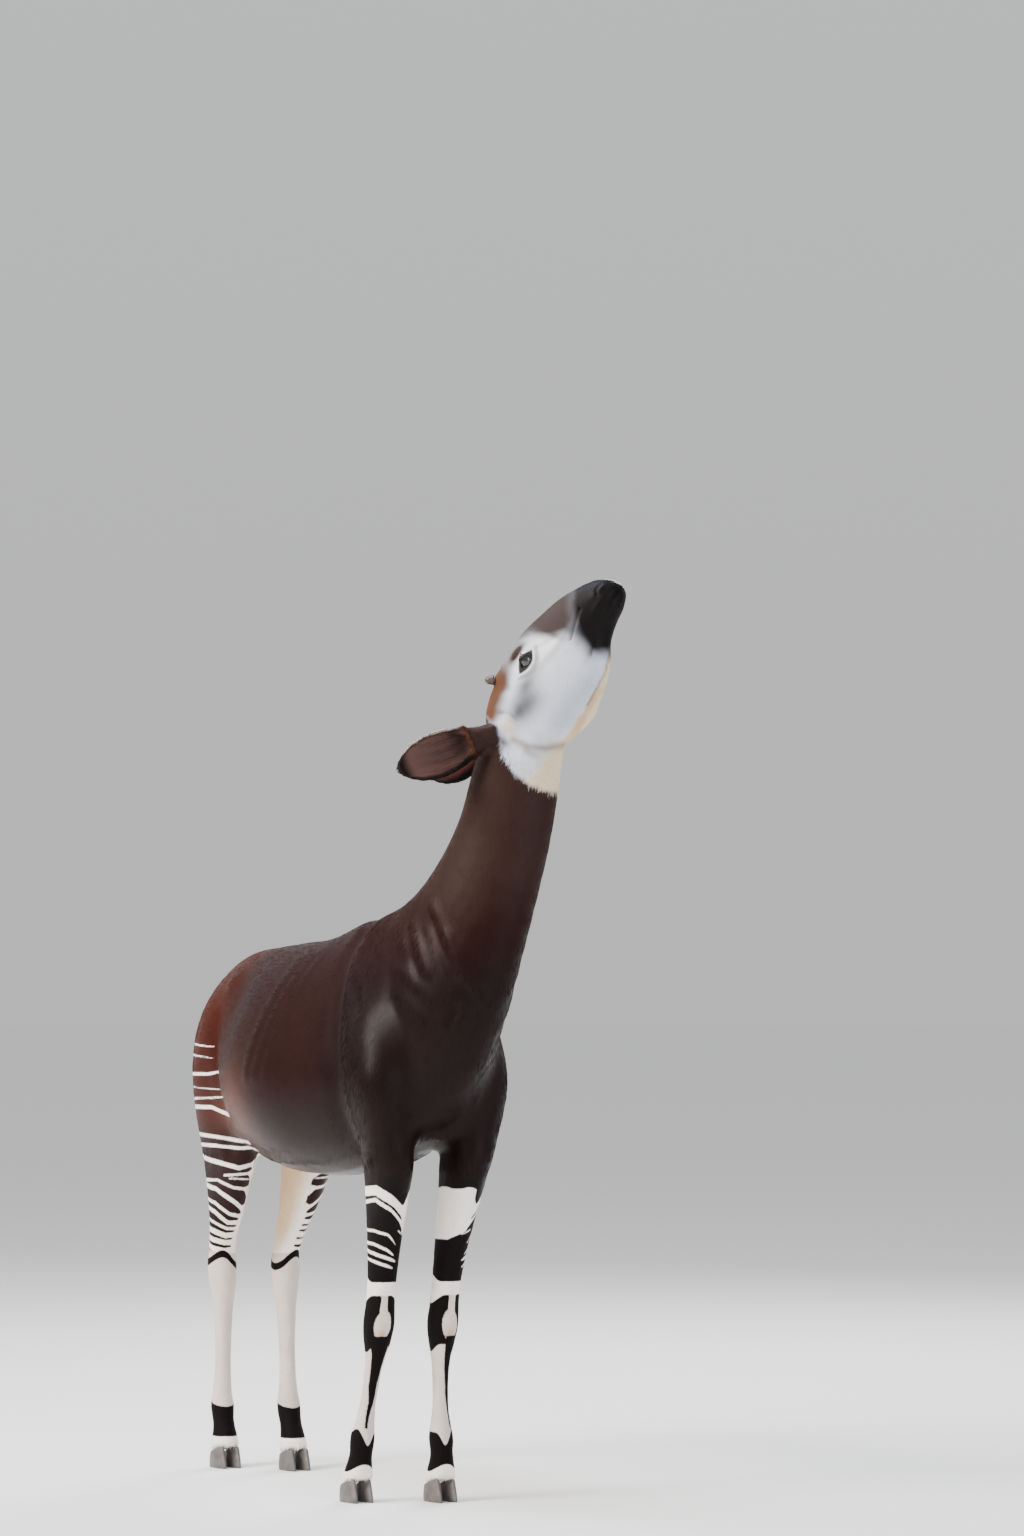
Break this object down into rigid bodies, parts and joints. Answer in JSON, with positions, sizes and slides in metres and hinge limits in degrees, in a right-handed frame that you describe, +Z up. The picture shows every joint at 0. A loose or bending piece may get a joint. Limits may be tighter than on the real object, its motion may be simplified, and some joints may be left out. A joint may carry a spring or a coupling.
{
  "type": "okapi",
  "caption": "Life-size standing okapi, neck stretched up and head turned, with striped legs, large cupped ears and cloven hooves.",
  "frame": {"origin": "on the floor under the middle of the whole animal's box", "axes": "+X towards the chest, +Y to the animal's left, +Z up"},
  "size_m": [1.7354, 0.6586, 2.3676],
  "materials": {
    "coat": "satin",
    "face": "matte",
    "shank": "matte",
    "ear": "matte",
    "ossicone": "satin",
    "eye": "gloss",
    "hoof": "satin",
    "tuft": "matte"
  },
  "bodies": {
    "root": {"ear_left": "ear", "ear_right": "ear", "eye_left": "eye", "eye_right": "eye", "foreleg_left": "shank", "foreleg_left_claw_inner": "hoof", "foreleg_left_claw_outer": "hoof", "foreleg_right": "shank", "foreleg_right_claw_inner": "hoof", "foreleg_right_claw_outer": "hoof", "head": "face", "hindleg_left": "shank", "hindleg_left_claw_inner": "hoof", "hindleg_left_claw_outer": "hoof", "hindleg_right": "shank", "hindleg_right_claw_inner": "hoof", "hindleg_right_claw_outer": "hoof", "neck": "coat", "ossicone_left": "ossicone", "ossicone_right": "ossicone", "tail": "coat", "tail_tuft": "tuft", "torso": "coat"}
  },
  "joints": []
}
